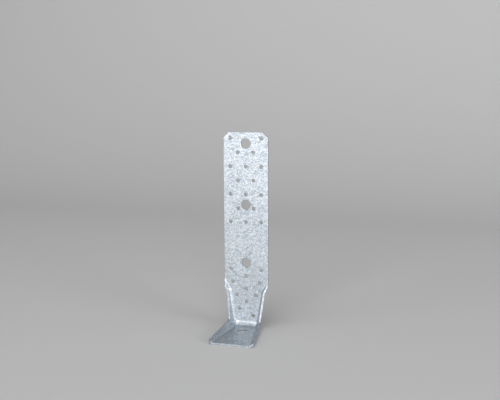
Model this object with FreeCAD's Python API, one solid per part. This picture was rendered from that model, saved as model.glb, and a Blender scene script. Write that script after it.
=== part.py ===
import FreeCAD, Part
import math
import os

# Post base folded from one drilled strip of galvanised steel sheet.
# Frame: millimetres, +Z up, X across the strip, the tall leg's back face towards +Y, the foot towards -Y.
# The origin is under the middle of the outer box, on the floor.

# Outer sizes
strip_width = 65.0
leg_height = 285.0
foot_depth = 85.0
sheet = 3.0
top_chamfer = 7.5
front_corner_radius = 5.5

# The heel fold between leg and foot, by its inside radius
heel_radius = 7.0

# The lips folded up along both sides: inside fold radius, fold angles, and where the fold lines run.
# A fold line is heel_fold_half from the middle at the heel and moves outward by its slope.
# Reach is measured on the sheet from the middle, round the fold, to the lip's edge.
lip_radius = 4.5
leg_lip_angle = 74.0
foot_lip_angle = 62.0
heel_fold_half = 16.2
leg_fold_slope = 0.162
foot_fold_slope = 0.15
leg_lip_reach = 30.0
foot_lip_reach_heel = 27.4
foot_lip_reach_front = 31.8
lip_corner_radius = 6.0
heel_mitre_radius = 10.0

# The end of the lips on the leg, where they run out into the flat strip
lip_start_height = 67.5
lip_start_slope = 0.7
lip_start_radius = 20.0

# Holes in the leg: a staggered nail grid counted down from the top row, and bolt holes on the middle line.
# Every row has its outer columns, and pairs on the inner columns stand half a row below.
nail_hole = 5.0
bolt_hole = 14.0
nail_column_spacing = 45.0
inner_column_spacing = 22.5
nail_row_pitch = 40.0
nail_rows = 4
top_row_edge = 8.5
upper_bolt_below_row = 7.5
middle_bolt_below_row = 15.0
lower_bolt_height = 97.0
lower_row_height = 86.5
lower_middle_height = 77.0
lip_row_height = 68.0
lip_row_spacing = 40.0
left_heel_nail_across = 10.0
left_heel_nail_height = 28.0
right_heel_nail_across = 10.5
right_heel_nail_height = 18.0

# Four nail holes in a diamond above the heel
diamond_height = 48.5
diamond_width = 28.0
diamond_rise = 20.0

# Holes in the foot, measured from the leg's back face
anchor_hole = 14.0
anchor_from_back = 27.0
foot_nail_from_back = 67.0

half_width = strip_width / 2
back = foot_depth / 2
leg_front = back - sheet
far = 2 * leg_height


def flare(lip_angle, fold_slope):
    """Outward run of a lip per millimetre of rise, for a lip angle and a sloping fold line."""
    return math.sqrt(1 + fold_slope ** 2) / math.tan(math.radians(lip_angle))


leg_flare = flare(leg_lip_angle, leg_fold_slope)
foot_flare = flare(foot_lip_angle, foot_fold_slope)
start_flare = flare(leg_lip_angle, lip_start_slope)

# The three side planes of the hollow inside the folds, as (point, normal) for the +X side
heel_point = FreeCAD.Vector(heel_fold_half, leg_front, sheet)
start_point = FreeCAD.Vector(half_width, leg_front, lip_start_height)
leg_side = (heel_point, FreeCAD.Vector(1, leg_flare, -leg_fold_slope).normalize())
foot_side = (heel_point, FreeCAD.Vector(1, foot_fold_slope, -foot_flare).normalize())
start_side = (start_point, FreeCAD.Vector(1, start_flare, -lip_start_slope).normalize())


def half_space(point, normal):
    """A large block filling the side of a plane away from its normal."""
    block = Part.makeBox(2 * far, 2 * far, far, FreeCAD.Vector(-far, -far, -far))
    block.Placement = FreeCAD.Placement(point, FreeCAD.Rotation(FreeCAD.Vector(0, 0, 1), normal))
    return block


def edges_where(shape, test):
    """The edges whose points, sampled along them, all pass the test."""
    return [edge for edge in shape.Edges if all(test(point) for point in edge.discretize(7))]


def hollow(grow):
    """The +X half of the space inside the folds, its walls moved outward by grow and its rounds to suit."""
    wall = leg_front + grow
    floor = sheet - grow
    radius = heel_radius + grow

    def lies_on(point, plane):
        return abs((point - plane[0]).dot(plane[1]) - grow) < 1e-4

    def lies_on_web(point):
        in_heel = point.y > wall - radius and point.z < floor + radius
        if in_heel:
            return abs(math.hypot(point.y - wall + radius, point.z - floor - radius) - radius) < 1e-4
        return abs(point.y - wall) < 1e-4 or abs(point.z - floor) < 1e-4

    block = Part.makeBox(far, far, far, FreeCAD.Vector(0, wall - far, floor))
    heel = edges_where(block, lambda p: abs(p.y - wall) < 1e-6 and abs(p.z - floor) < 1e-6)
    block = block.makeFillet(radius, heel)
    by_foot, by_leg, by_start = [
        half_space(point + normal * grow, normal) for point, normal in (foot_side, leg_side, start_side)
    ]
    block = block.common(by_foot)
    space = block.common(by_leg).fuse(block.common(by_start)).removeSplitter()

    bend = edges_where(space, lambda p: lies_on(p, leg_side) and lies_on(p, start_side))
    space = space.makeFillet(lip_start_radius - grow, bend)
    mitre = edges_where(space, lambda p: lies_on(p, leg_side) and lies_on(p, foot_side))
    space = space.makeFillet(heel_mitre_radius + grow, mitre)
    folds = edges_where(space, lambda p: lies_on_web(p) and p.x > 1 and p.z < leg_height)
    folds = [edge for edge in folds if abs(edge.tangentAt(edge.FirstParameter).x) < 0.99]
    return space.makeFillet(lip_radius + grow, folds)


def lip_edge(fold_half, reach, lip_angle):
    """Across and rise of a lip's edge, where its fold line is at fold_half from the middle."""
    length = reach - fold_half
    turn = math.radians(lip_angle)
    return fold_half + length * math.cos(turn), length * math.sin(turn)


def crossing(first, second):
    """Where two lines, each given by two (y, z) points, cross."""
    (ay, az), (by, bz) = first
    (cy, cz), (dy, dz) = second
    turn = (by - ay) * (dz - cz) - (bz - az) * (dy - cy)
    along = ((cy - ay) * (dz - cz) - (cz - az) * (dy - cy)) / turn
    return ay + along * (by - ay), az + along * (bz - az)


def keep_block():
    """Everything behind and below the lips' edges on the +X side, cut about square to the lips."""
    slant = (leg_flare + leg_fold_slope + foot_flare + foot_fold_slope) / 4

    def drawn(across, forward, up):
        """A point on the sheet's inside, slid along the cut to x = 0, as (y, z)."""
        return leg_front - forward - slant * across, sheet + up + slant * across

    start_up = lip_start_height - sheet
    knee_up = (lip_start_slope * start_up + heel_fold_half - half_width) / (lip_start_slope - leg_fold_slope)
    knee_across, knee_out = lip_edge(heel_fold_half + leg_fold_slope * knee_up, leg_lip_reach, leg_lip_angle)
    leg_across, leg_out = lip_edge(heel_fold_half, leg_lip_reach, leg_lip_angle)
    foot_across, foot_out = lip_edge(heel_fold_half, foot_lip_reach_heel, foot_lip_angle)
    run = foot_depth - sheet
    front_across, front_out = lip_edge(heel_fold_half + foot_fold_slope * run, foot_lip_reach_front, foot_lip_angle)

    knee = drawn(knee_across, knee_out, knee_up)
    leg_line = (knee, drawn(leg_across, leg_out, 0))
    foot_line = (drawn(foot_across, 0, foot_out), drawn(front_across, run, front_out))
    corner = crossing(leg_line, foot_line)
    past_front = -back - 2 * half_width
    beyond = crossing(foot_line, ((past_front, 0), (past_front, leg_height)))
    fold_setback = lip_radius * math.tan(math.radians(leg_lip_angle / 2))
    first_up = start_up + fold_setback * math.hypot(1, lip_start_slope) / lip_start_slope
    clear_of_leg = drawn(half_width, sheet, first_up + sheet)
    outline = [
        (back + half_width, -half_width),
        (back + half_width, leg_height + half_width),
        (clear_of_leg[0], leg_height + half_width),
        clear_of_leg,
        drawn(half_width, 0, first_up),
        knee,
        corner,
        beyond,
        (past_front, -half_width),
    ]
    corners = [FreeCAD.Vector(0, y, z) for y, z in outline]
    cut = FreeCAD.Vector(1, slant, -slant)
    block = Part.Face(Part.makePolygon(corners + corners[:1])).extrude(cut * strip_width)
    inside_corner = FreeCAD.Vector(0, *corner)
    rounded = edges_where(block, lambda p: (p - inside_corner - cut * p.x).Length < 1e-4)
    return block.makeFillet(lip_corner_radius, rounded)


def envelope():
    """The strip's outer limits: chamfered top corners and rounded front corners."""
    low = FreeCAD.Vector(-half_width, -back, 0)
    box = Part.makeBox(strip_width, foot_depth, leg_height, low)
    front = edges_where(box, lambda p: abs(p.y + back) < 1e-6 and abs(abs(p.x) - half_width) < 1e-6)
    top = edges_where(box, lambda p: abs(p.z - leg_height) < 1e-6 and abs(abs(p.x) - half_width) < 1e-6)
    return box.makeFillet(front_corner_radius, front).common(box.makeChamfer(top_chamfer, top))


def leg_hole(diameter, across, height):
    start = FreeCAD.Vector(across, leg_front - sheet, height)
    return Part.makeCylinder(diameter / 2, 3 * sheet, start, FreeCAD.Vector(0, 1, 0))


def foot_hole(diameter, from_back):
    start = FreeCAD.Vector(0, back - from_back, -sheet)
    return Part.makeCylinder(diameter / 2, 3 * sheet, start, FreeCAD.Vector(0, 0, 1))


# The folded sheet
half = hollow(sheet).cut(hollow(0)).common(keep_block())
other_half = half.mirror(FreeCAD.Vector(0, 0, 0), FreeCAD.Vector(1, 0, 0))
body = half.fuse(other_half).common(envelope()).removeSplitter()

# Holes in the leg
top_row = leg_height - top_row_edge
third_row = top_row - 2 * nail_row_pitch
holes = [
    leg_hole(bolt_hole, 0, top_row - upper_bolt_below_row),
    leg_hole(bolt_hole, 0, third_row - middle_bolt_below_row),
    leg_hole(bolt_hole, 0, lower_bolt_height),
    leg_hole(nail_hole, 0, lower_middle_height),
    leg_hole(nail_hole, -left_heel_nail_across, left_heel_nail_height),
    leg_hole(nail_hole, right_heel_nail_across, right_heel_nail_height),
]
for row in range(1, nail_rows):
    holes.append(leg_hole(nail_hole, 0, top_row - row * nail_row_pitch))
for side in (-1, 1):
    outer = side * nail_column_spacing / 2
    inner = side * inner_column_spacing / 2
    for row in range(nail_rows):
        holes.append(leg_hole(nail_hole, outer, top_row - row * nail_row_pitch))
    for row in range(nail_rows - 1):
        holes.append(leg_hole(nail_hole, inner, top_row - (row + 0.5) * nail_row_pitch))
    holes.append(leg_hole(nail_hole, outer, lower_row_height))
    holes.append(leg_hole(nail_hole, side * lip_row_spacing / 2, lip_row_height))
    holes.append(leg_hole(nail_hole, side * diamond_width / 2, diamond_height))
    holes.append(leg_hole(nail_hole, 0, diamond_height + side * diamond_rise / 2))

# Holes in the foot
holes.append(foot_hole(anchor_hole, anchor_from_back))
holes.append(foot_hole(nail_hole, foot_nail_from_back))

bracket = body.cut(Part.makeCompound(holes)).removeSplitter().Solids[0]
os.makedirs("parts", exist_ok=True)
bracket.exportStep("parts/angle_bracket.step")
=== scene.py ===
import math

import bmesh
import bpy
import numpy as np
from mathutils import Matrix, Vector


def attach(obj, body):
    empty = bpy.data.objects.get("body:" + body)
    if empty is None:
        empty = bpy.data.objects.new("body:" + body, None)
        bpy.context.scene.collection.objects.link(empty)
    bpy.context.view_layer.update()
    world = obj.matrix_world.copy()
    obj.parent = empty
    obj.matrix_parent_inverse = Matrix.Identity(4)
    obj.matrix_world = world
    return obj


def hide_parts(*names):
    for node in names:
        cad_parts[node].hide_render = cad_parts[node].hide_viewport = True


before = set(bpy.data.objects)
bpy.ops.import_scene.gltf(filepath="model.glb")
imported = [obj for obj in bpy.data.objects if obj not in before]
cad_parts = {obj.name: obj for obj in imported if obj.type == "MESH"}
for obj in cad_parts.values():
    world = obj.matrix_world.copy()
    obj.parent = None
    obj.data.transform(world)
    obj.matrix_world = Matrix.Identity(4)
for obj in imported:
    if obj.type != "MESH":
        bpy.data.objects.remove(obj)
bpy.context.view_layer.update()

scene = bpy.context.scene
MM = 0.001

# The cut edges, rounded a little by shearing and by the zinc, and more at the rims of the holes
EDGE_ROUND = 0.3 * MM
RIM_ROUND = 0.6 * MM
ROUND_STEPS = 2
WIDEST_HOLE = 15.0 * MM

# What counts as a sharp edge, a flat side, one point and close to a corner.
# The last value is how far flat sides rule the shading.
SHARP_ANGLE = math.radians(38.0)
FLAT_ANGLE = math.radians(0.1)
SAME_POINT = 0.005 * MM
CORNER_CLEAR = 0.6 * MM
FLAT_SIDE_WEIGHT = 100

# Camera, from the photograph's own perspective
IMAGE_WIDTH = 500.0
FOCAL_PIXELS = 733.73
SENSOR_WIDTH = 36.0
CAMERA_PLACE = Vector((0.27630, -0.95451, 0.35471))
CAMERA_TURN = math.radians(15.203)
CAMERA_DOWN = math.radians(9.144)
CAMERA_ROLL = math.radians(-0.277)

# Stage, in metres
FLOOR_COLOUR = "#C8C8C8"
PAPER_ROUGHNESS = 0.9
FLOOR_HALF_WIDTH = 3.2
FLOOR_FRONT = -2.6
SWEEP_START = 0.9
SWEEP_RADIUS = 2.1
SWEEP_STEPS = 24
WALL_TOP = 3.0

# Light: each lamp's name, place, width and height in metres, and power in watts
WORLD_COLOUR = "#FFFFFF"
WORLD_STRENGTH = 0.15
LIGHTS = (
    ("front_high_light", (0.2, -4.2, 3.0), (4.0, 1.8), 40.0),
    ("front_low_light", (0.2, -4.8, 0.9), (4.6, 1.7), 147.0),
    ("left_light", (-3.7, -3.3, 1.0), (2.2, 1.95), 60.0),
    ("right_light", (4.6, -2.1, 0.9), (2.1, 1.85), 152.0),
    ("top_light", (0.0, -1.3, 3.4), (2.6, 2.0), 39.0),
)
LIGHT_AIM = Vector((0.0, 0.0, 0.13))

# Zinc: crystals of the size that a fine spangle has, a grain, and broad clouds.
# The real grain is too fine to show, so it is drawn coarser.
ZINC_LIGHT = "#C8CDD2"
ZINC_DARK = "#97A0A9"
SPANGLE = 1.4 * MM
GRAIN = 0.7 * MM
CLOUD = 28.0 * MM
SPANGLE_SHARE = 0.65
GRAIN_SHARE = 0.22
CLOUD_SHARE = 0.13
GRAIN_DETAIL = 2.0
GRAIN_DETAIL_SHARE = 0.6
CLOUD_DETAIL = 3.0
CLOUD_DETAIL_SHARE = 0.55
GRAIN_DEPTH = 0.05 * MM
GRAIN_STRENGTH = 0.15
TONE_LOW = 0.22
TONE_HIGH = 0.78
ROUGH_DARK = 0.56
ROUGH_LIGHT = 0.44


def linear(hex_colour):
    """An sRGB hex colour as linear red, green, blue and alpha: ((c + 0.055) / 1.055) ** 2.4 above 0.04045."""
    parts = np.array([int(hex_colour[i:i + 2], 16) for i in (1, 3, 5)]) / 255.0
    low = parts / 12.92
    high = ((parts + 0.055) / 1.055) ** 2.4
    return (*np.where(parts <= 0.04045, low, high), 1.0)


def add_node(tree, kind, settings=None, inputs=None):
    """One node of that kind. A value in inputs is set on its socket, and a socket is linked to it."""
    made = tree.nodes.new(kind)
    for name, value in (settings or {}).items():
        setattr(made, name, value)
    for name, value in (inputs or {}).items():
        if isinstance(value, bpy.types.NodeSocket):
            tree.links.new(value, made.inputs[name])
        else:
            made.inputs[name].default_value = value
    return made


def new_material(name):
    """An empty node material, and its tree."""
    made = bpy.data.materials.new(name)
    made.use_nodes = True
    made.node_tree.nodes.clear()
    return made, made.node_tree


def surface_to(tree, shader):
    """Joins a shader to the material's output."""
    add_node(tree, "ShaderNodeOutputMaterial", None, {"Surface": shader})


def noise(tree, place, size, detail, detail_share):
    """Soft noise with features of that size."""
    made = add_node(tree, "ShaderNodeTexNoise", None,
                    {"Vector": place, "Scale": 1.0 / size, "Detail": detail, "Roughness": detail_share})
    return made.outputs["Fac"]


def zinc_coat():
    """Tone = CLOUD_SHARE * cloud + SPANGLE_SHARE * crystal + GRAIN_SHARE * grain. From TONE_LOW to TONE_HIGH
    the colour runs from ZINC_DARK to ZINC_LIGHT and the roughness from ROUGH_DARK to ROUGH_LIGHT."""
    # Hot-dip galvanised steel: to the eye a pale blue-grey satin of small flat crystals, each of its own tone
    made, tree = new_material("zinc_coat_on_steel")
    place = add_node(tree, "ShaderNodeTexCoord").outputs["Object"]
    crystal = add_node(tree, "ShaderNodeTexVoronoi", {"feature": "F1"},
                       {"Vector": place, "Scale": 1.0 / SPANGLE, "Randomness": 1.0})
    crystal_value = add_node(tree, "ShaderNodeSeparateColor", None, {"Color": crystal.outputs["Color"]})
    cloud = noise(tree, place, CLOUD, CLOUD_DETAIL, CLOUD_DETAIL_SHARE)
    grain = noise(tree, place, GRAIN, GRAIN_DETAIL, GRAIN_DETAIL_SHARE)
    shares = ((cloud, CLOUD_SHARE), (crystal_value.outputs["Red"], SPANGLE_SHARE), (grain, GRAIN_SHARE))
    total = 0.0
    for value, share in shares:
        added = add_node(tree, "ShaderNodeMath", {"operation": "MULTIPLY_ADD"},
                         {0: value, 1: share, 2: total})
        total = added.outputs[0]
    span = {"Value": total, "From Min": TONE_LOW, "From Max": TONE_HIGH}
    tone = add_node(tree, "ShaderNodeMapRange", None, span)
    rough = add_node(tree, "ShaderNodeMapRange", None, {**span, "To Min": ROUGH_DARK, "To Max": ROUGH_LIGHT})
    # The mix node's colour sockets go by number: 0 is the share, 6 and 7 are the colours, and 2 is the result
    colour = add_node(tree, "ShaderNodeMix", {"data_type": "RGBA"},
                      {0: tone.outputs["Result"], 6: linear(ZINC_DARK), 7: linear(ZINC_LIGHT)})
    bump = add_node(tree, "ShaderNodeBump", None,
                    {"Strength": GRAIN_STRENGTH, "Distance": GRAIN_DEPTH, "Height": grain})
    shader = add_node(tree, "ShaderNodeBsdfPrincipled", None,
                      {"Base Color": colour.outputs[2], "Metallic": 1.0,
                       "Roughness": rough.outputs["Result"], "Normal": bump.outputs["Normal"]})
    surface_to(tree, shader.outputs["BSDF"])
    return made


def is_sharp(edge):
    """Whether the surface turns by over SHARP_ANGLE at this edge."""
    return edge.calc_face_angle() > SHARP_ANGLE


def clear_corners(surface):
    """Where three or more sharp edges meet, the points within CORNER_CLEAR are merged into the corner."""
    corners = [point.co.copy() for point in surface.verts if sum(map(is_sharp, point.link_edges)) > 2]
    for corner in corners:
        near = [point for point in surface.verts if (point.co - corner).length < CORNER_CLEAR]
        bmesh.ops.pointmerge(surface, verts=near, merge_co=corner)


def weigh_edges(surface):
    """Bevel weights of the sharp edges: 1 on a joined chain that reaches less than WIDEST_HOLE, which is
    the rim of a hole, and EDGE_ROUND / RIM_ROUND on the others."""
    weight = surface.edges.layers.float.new("bevel_weight_edge")
    left = set(filter(is_sharp, surface.edges))
    while left:
        start = left.pop()
        chain = {start}
        fresh = {start}
        while fresh:
            fresh = {near for edge in fresh for point in edge.verts for near in point.link_edges} & left
            chain |= fresh
            left -= fresh
        reach = max((edge.verts[0].co - start.verts[0].co).length for edge in chain)
        share = 1.0 if reach < WIDEST_HOLE else EDGE_ROUND / RIM_ROUND
        for edge in chain:
            edge[weight] = share


def edge_rounded_sheet(source, material):
    """The folded sheet once more, as one joined surface: equal points are merged, each flat side becomes one
    face, and a bevel runs along the sharp edges, RIM_ROUND round the holes and EDGE_ROUND elsewhere."""
    surface = bmesh.new()
    surface.from_mesh(source.data)
    bmesh.ops.remove_doubles(surface, verts=surface.verts, dist=SAME_POINT)
    clear_corners(surface)
    bmesh.ops.dissolve_limit(surface, angle_limit=FLAT_ANGLE, verts=surface.verts, edges=surface.edges)
    weigh_edges(surface)
    mesh = bpy.data.meshes.new("folded_sheet")
    surface.to_mesh(mesh)
    surface.free()
    mesh.shade_smooth()
    mesh.materials.append(material)
    made = bpy.data.objects.new("folded_sheet", mesh)
    scene.collection.objects.link(made)
    bevel = made.modifiers.new("rounded_edges", "BEVEL")
    bevel.width = RIM_ROUND
    bevel.segments = ROUND_STEPS
    bevel.limit_method = "WEIGHT"
    bevel.use_clamp_overlap = False
    weld = made.modifiers.new("joined_points", "WELD")
    weld.merge_threshold = SAME_POINT
    normals = made.modifiers.new("flat_sides", "WEIGHTED_NORMAL")
    normals.mode = "FACE_AREA"
    normals.weight = FLAT_SIDE_WEIGHT
    return made


def stage_paper():
    """Studio paper: to the eye an even, matt pale grey."""
    made, tree = new_material("sweep_paper")
    shader = add_node(tree, "ShaderNodeBsdfPrincipled", None,
                      {"Base Color": linear(FLOOR_COLOUR), "Roughness": PAPER_ROUGHNESS})
    surface_to(tree, shader.outputs["BSDF"])
    return made


def studio_sweep():
    """Floor, quarter round and wall in one sheet, a profile carried along X. On the quarter round
    y = SWEEP_START + SWEEP_RADIUS * sin(turn) and z = SWEEP_RADIUS * (1 - cos(turn))."""
    turn = np.linspace(0.0, math.pi / 2.0, SWEEP_STEPS + 1)
    arc_y = SWEEP_START + SWEEP_RADIUS * np.sin(turn)
    arc_z = SWEEP_RADIUS * (1.0 - np.cos(turn))
    profile_y = np.concatenate(([FLOOR_FRONT], arc_y, [SWEEP_START + SWEEP_RADIUS]))
    profile_z = np.concatenate(([0.0], arc_z, [WALL_TOP]))
    count = len(profile_y)
    left = np.column_stack((np.full(count, -FLOOR_HALF_WIDTH), profile_y, profile_z))
    right = np.column_stack((np.full(count, FLOOR_HALF_WIDTH), profile_y, profile_z))
    first = np.arange(count - 1)
    faces = np.column_stack((first, first + count, first + count + 1, first + 1))
    mesh = bpy.data.meshes.new("studio_sweep")
    mesh.from_pydata(np.vstack((left, right)).tolist(), [], faces.tolist())
    mesh.shade_smooth()
    mesh.materials.append(stage_paper())
    made = bpy.data.objects.new("studio_sweep", mesh)
    scene.collection.objects.link(made)


def area_light(name, place, size, power):
    """A soft light of that width and height at place, turned to the part."""
    lamp = bpy.data.lights.new(name, "AREA")
    lamp.shape = "RECTANGLE"
    lamp.size = size[0]
    lamp.size_y = size[1]
    lamp.energy = power
    made = bpy.data.objects.new(name, lamp)
    made.location = place
    made.rotation_euler = (LIGHT_AIM - place).to_track_quat("-Z", "Y").to_euler()
    scene.collection.objects.link(made)


def soft_world():
    """Even white light from all round."""
    world = bpy.data.worlds.new("soft_white")
    world.use_nodes = True
    tree = world.node_tree
    tree.nodes.clear()
    glow = add_node(tree, "ShaderNodeBackground", None,
                    {"Color": linear(WORLD_COLOUR), "Strength": WORLD_STRENGTH})
    add_node(tree, "ShaderNodeOutputWorld", None, {"Surface": glow.outputs["Background"]})
    scene.world = world


def photo_camera():
    """The camera at the photograph's place: turned left about Z, tipped down, rolled about its own axis."""
    lens = bpy.data.cameras.new("photo_camera")
    lens.sensor_fit = "HORIZONTAL"
    lens.sensor_width = SENSOR_WIDTH
    lens.lens = FOCAL_PIXELS / IMAGE_WIDTH * SENSOR_WIDTH
    made = bpy.data.objects.new("photo_camera", lens)
    turn = Matrix.Rotation(CAMERA_TURN, 4, "Z")
    tip = Matrix.Rotation(math.pi / 2.0 - CAMERA_DOWN, 4, "X")
    roll = Matrix.Rotation(CAMERA_ROLL, 4, "Z")
    made.matrix_world = Matrix.Translation(CAMERA_PLACE) @ turn @ tip @ roll
    scene.collection.objects.link(made)
    scene.camera = made


sheet_piece = edge_rounded_sheet(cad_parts["angle_bracket"], zinc_coat())
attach(sheet_piece, "root")
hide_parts("angle_bracket")

studio_sweep()
soft_world()
for light_name, light_place, light_size, light_power in LIGHTS:
    area_light(light_name, Vector(light_place), light_size, light_power)
photo_camera()
scene.view_settings.view_transform = "Standard"
